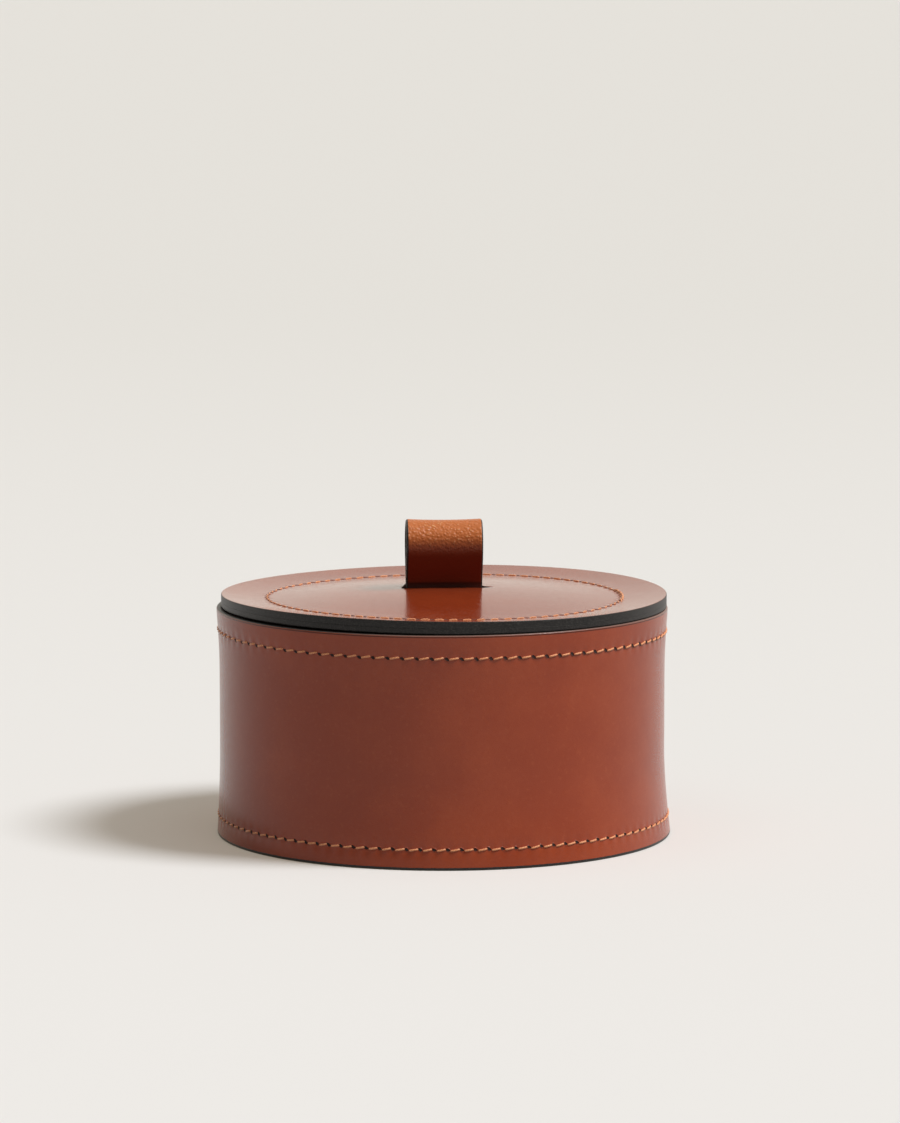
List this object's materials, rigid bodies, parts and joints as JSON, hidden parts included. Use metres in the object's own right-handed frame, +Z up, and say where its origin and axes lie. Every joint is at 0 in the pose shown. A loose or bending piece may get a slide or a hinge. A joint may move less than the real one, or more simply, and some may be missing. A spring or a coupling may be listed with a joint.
{
  "type": "collar box",
  "caption": "Round leather keepsake box for detachable collars, with a lift-off lid, a looped pull tab and contrast stitching.",
  "frame": {"origin": "centre of the foot, on the surface that the box stands on", "axes": "+Z up out of the box, the way the lid lifts; front at -Y, back seam at +Y"},
  "size_m": [0.1524, 0.1524, 0.1047],
  "materials": {
    "bridle_leather": "glazed",
    "flesh_leather": "matte",
    "suede_lining": "matte",
    "waxed_thread": "waxed"
  },
  "bodies": {
    "box": {"side_wall": "bridle_leather", "rim_band": "bridle_leather", "seam_strip": "flesh_leather", "base_cup": "bridle_leather", "base_lining": "suede_lining", "rim_stitching": "waxed_thread", "foot_stitching": "waxed_thread", "back_stitching": "waxed_thread"},
    "lid": {"lid_top": "bridle_leather", "lid_backing": "bridle_leather", "lid_locator": "bridle_leather", "pull_tab": "bridle_leather", "lid_stitching": "waxed_thread"}
  },
  "joints": [
    {"name": "lid_lift", "type": "slide", "parent": "box", "child": "lid", "axis": [0, 0, 1], "range_m": [0, 0.06]}
  ]
}
